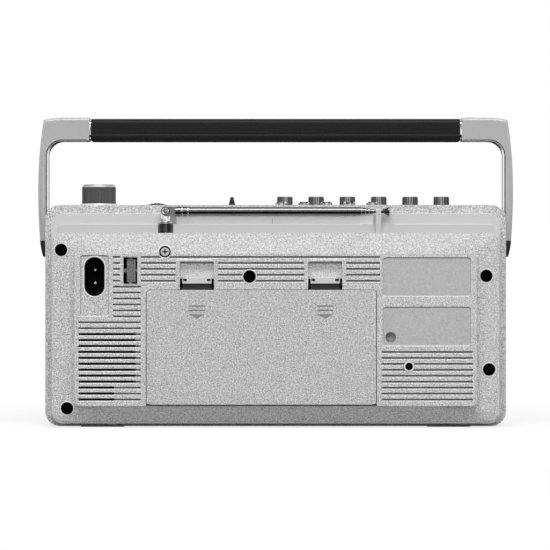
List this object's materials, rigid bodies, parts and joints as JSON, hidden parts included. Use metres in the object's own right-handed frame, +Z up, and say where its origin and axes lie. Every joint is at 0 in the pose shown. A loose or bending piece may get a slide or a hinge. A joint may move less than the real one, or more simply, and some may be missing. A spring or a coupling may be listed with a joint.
{
  "type": "portable radio cassette player",
  "caption": "Silver portable radio cassette recorder with folding carry handle, telescopic antenna, piano keys, battery door and mains inlet at the back.",
  "frame": {"origin": "middle of the underside, on the surface that the feet stand on", "axes": "+Z up, front with loudspeaker and cassette door faces -Y, battery door at +Y, +X along the width"},
  "size_m": [0.3104, 0.0984, 0.201],
  "materials": {
    "silver_shell": "satin silver paint over moulded plastic",
    "silver_arm": "satin silver",
    "black_plastic": "matt black",
    "chrome": "bright plating",
    "steel": "zinc plated",
    "brass": "satin",
    "rubber": "matt",
    "board": "bare laminate",
    "clear": "clear",
    "pointer_red": "gloss",
    "cone": "paper cone, black",
    "grille": "satin"
  },
  "bodies": {
    "case": {"rear_shell": "silver_shell", "front_shell": "silver_shell", "battery_box": "black_plastic", "battery_contacts": "steel", "ac_inlet": "black_plastic", "inlet_pins": "brass", "transformer": "steel", "main_board": "board", "dc_jack": "black_plastic", "case_screws": "steel", "feet": "rubber", "antenna_clip": "black_plastic", "handle_pivots": "steel", "dial_window": "clear", "tape_deck": "steel", "tape_head": "black_plastic", "drive_motor": "steel", "drive_belt": "rubber", "speaker": "cone", "speaker_grille": "grille"},
    "battery_lid": {"battery_door": "silver_shell"},
    "left_latch": {"battery_latch_left": "silver_shell"},
    "right_latch": {"battery_latch_right": "silver_shell"},
    "antenna_foot": {"antenna_base": "chrome", "antenna_pin": "chrome"},
    "antenna_section_1": {"antenna_root": "chrome", "antenna_tube_1": "chrome"},
    "antenna_section_2": {"antenna_tube_2": "chrome"},
    "antenna_section_3": {"antenna_tube_3": "chrome"},
    "antenna_section_4": {"antenna_tube_4": "chrome"},
    "antenna_section_5": {"antenna_tube_5": "chrome"},
    "antenna_section_6": {"antenna_tip": "chrome"},
    "handle": {"handle_arm_left": "silver_arm", "handle_arm_right": "silver_arm", "handle_hubs": "black_plastic", "handle_grip": "black_plastic", "handle_ferrules": "chrome", "handle_screws": "steel"},
    "volume_control": {"volume_knob": "black_plastic"},
    "tuning_control": {"tuning_wheel": "black_plastic"},
    "pointer": {"dial_pointer": "pointer_red"},
    "function_lever": {"function_switch": "black_plastic"},
    "cassette_lid": {"cassette_door": "black_plastic", "cassette_window": "clear"},
    "capstan_shaft": {"capstan": "steel"},
    "supply_spindle": {"supply_reel": "black_plastic"},
    "take_up_spindle": {"take_up_reel": "black_plastic"},
    "roller": {"pinch_roller": "rubber"},
    "pulley": {"motor_pulley": "brass"},
    "record_lever": {"record_key": "chrome"},
    "play_lever": {"play_key": "chrome"},
    "rewind_lever": {"rewind_key": "chrome"},
    "forward_lever": {"forward_key": "chrome"},
    "stop_lever": {"stop_key": "chrome"},
    "pause_lever": {"pause_key": "chrome"},
    "selector_1": {"selector_button_1": "chrome"},
    "selector_2": {"selector_button_2": "chrome"},
    "selector_3": {"selector_button_3": "chrome"},
    "selector_4": {"selector_button_4": "chrome"},
    "selector_5": {"selector_button_5": "chrome"}
  },
  "joints": [
    {"name": "handle_fold", "type": "hinge", "parent": "case", "child": "handle", "pos_m": [0, -0.006, 0.116], "axis": [1, 0, 0], "range_deg": [-95, 95]},
    {"name": "battery_lid_hinge", "type": "hinge", "parent": "case", "child": "battery_lid", "pos_m": [0.0091, 0.0479, 0.0156], "axis": [-1, 0, 0], "range_deg": [0, 88]},
    {"name": "left_latch_slide", "type": "slide", "parent": "battery_lid", "child": "left_latch", "axis": [0, 0, -1], "range_m": [0, 0.0018], "stiffness_N_per_m": 800},
    {"name": "right_latch_slide", "type": "slide", "parent": "battery_lid", "child": "right_latch", "axis": [0, 0, -1], "range_m": [0, 0.0018], "stiffness_N_per_m": 800},
    {"name": "antenna_swivel", "type": "hinge", "parent": "case", "child": "antenna_foot", "pos_m": [0.0709, 0.0344, 0.1329], "axis": [0, 0, 1], "range_deg": [-180, 0], "deforming": ["antenna_clip"]},
    {"name": "antenna_elbow", "type": "hinge", "parent": "antenna_foot", "child": "antenna_section_1", "pos_m": [0.0709, 0.0344, 0.1393], "axis": [0, 1, 0], "range_deg": [0, 90]},
    {"name": "antenna_slide_2", "type": "slide", "parent": "antenna_section_1", "child": "antenna_section_2", "axis": [-1, 0, 0], "range_m": [0, 0.095], "deforming": ["antenna_clip"]},
    {"name": "antenna_slide_3", "type": "slide", "parent": "antenna_section_2", "child": "antenna_section_3", "axis": [-1, 0, 0], "range_m": [0, 0.095], "deforming": ["antenna_clip"]},
    {"name": "antenna_slide_4", "type": "slide", "parent": "antenna_section_3", "child": "antenna_section_4", "axis": [-1, 0, 0], "range_m": [0, 0.095], "deforming": ["antenna_clip"]},
    {"name": "antenna_slide_5", "type": "slide", "parent": "antenna_section_4", "child": "antenna_section_5", "axis": [-1, 0, 0], "range_m": [0, 0.095], "deforming": ["antenna_clip"]},
    {"name": "antenna_slide_6", "type": "slide", "parent": "antenna_section_5", "child": "antenna_section_6", "axis": [-1, 0, 0], "range_m": [0, 0.095], "deforming": ["antenna_clip"]},
    {"name": "volume_turn", "type": "hinge", "parent": "case", "child": "volume_control", "pos_m": [0.1161, -0.008, 0.15], "axis": [0, 0, 1], "range_deg": [-150, 150]},
    {"name": "tuning_turn", "type": "hinge", "parent": "case", "child": "tuning_control", "pos_m": [0.0788, -0.0335, 0.1274], "axis": [0, 1, 0], "range_deg": [-150, 150]},
    {"name": "pointer_slide", "type": "slide", "parent": "case", "child": "pointer", "axis": [1, 0, 0], "range_m": [-0.04, 0.04]},
    {"name": "function_slide", "type": "slide", "parent": "case", "child": "function_lever", "axis": [1, 0, 0], "range_m": [-0.006, 0.006]},
    {"name": "record_press", "type": "slide", "parent": "case", "child": "record_lever", "axis": [0, 0, -1], "range_m": [0, 0.004], "stiffness_N_per_m": 400},
    {"name": "play_press", "type": "slide", "parent": "case", "child": "play_lever", "axis": [0, 0, -1], "range_m": [0, 0.004], "stiffness_N_per_m": 400},
    {"name": "rewind_press", "type": "slide", "parent": "case", "child": "rewind_lever", "axis": [0, 0, -1], "range_m": [0, 0.004], "stiffness_N_per_m": 400},
    {"name": "forward_press", "type": "slide", "parent": "case", "child": "forward_lever", "axis": [0, 0, -1], "range_m": [0, 0.004], "stiffness_N_per_m": 400},
    {"name": "stop_press", "type": "slide", "parent": "case", "child": "stop_lever", "axis": [0, 0, -1], "range_m": [0, 0.004], "stiffness_N_per_m": 400},
    {"name": "pause_press", "type": "slide", "parent": "case", "child": "pause_lever", "axis": [0, 0, -1], "range_m": [0, 0.004], "stiffness_N_per_m": 400},
    {"name": "selector_press_1", "type": "slide", "parent": "case", "child": "selector_1", "axis": [0, 0, -1], "range_m": [0, 0.001], "stiffness_N_per_m": 400},
    {"name": "selector_press_2", "type": "slide", "parent": "case", "child": "selector_2", "axis": [0, 0, -1], "range_m": [0, 0.001], "stiffness_N_per_m": 400},
    {"name": "selector_press_3", "type": "slide", "parent": "case", "child": "selector_3", "axis": [0, 0, -1], "range_m": [0, 0.001], "stiffness_N_per_m": 400},
    {"name": "selector_press_4", "type": "slide", "parent": "case", "child": "selector_4", "axis": [0, 0, -1], "range_m": [0, 0.001], "stiffness_N_per_m": 400},
    {"name": "selector_press_5", "type": "slide", "parent": "case", "child": "selector_5", "axis": [0, 0, -1], "range_m": [0, 0.001], "stiffness_N_per_m": 400},
    {"name": "cassette_lid_hinge", "type": "hinge", "parent": "case", "child": "cassette_lid", "pos_m": [-0.058, -0.0465, 0.0345], "axis": [1, 0, 0], "range_deg": [0, 38]},
    {"name": "capstan_spin", "type": "hinge", "parent": "case", "child": "capstan_shaft", "pos_m": [-0.036, -0.031, 0.091], "axis": [0, 1, 0], "continuous": true},
    {"name": "supply_spin", "type": "hinge", "parent": "case", "child": "supply_spindle", "pos_m": [-0.07925, -0.031, 0.068], "axis": [0, 1, 0], "continuous": true},
    {"name": "take_up_spin", "type": "hinge", "parent": "case", "child": "take_up_spindle", "pos_m": [-0.03675, -0.031, 0.068], "axis": [0, 1, 0], "continuous": true},
    {"name": "roller_spin", "type": "hinge", "parent": "case", "child": "roller", "pos_m": [-0.036, -0.035, 0.098], "axis": [0, 1, 0], "continuous": true},
    {"name": "pulley_spin", "type": "hinge", "parent": "case", "child": "pulley", "pos_m": [-0.092, -0.0255, 0.05], "axis": [0, 1, 0], "continuous": true}
  ],
  "couplings": [
    {"joint": "pointer_slide", "follows": "tuning_turn", "m_per_rad": 0.015279},
    {"joint": "pulley_spin", "follows": "capstan_spin", "ratio": 4.9286}
  ]
}
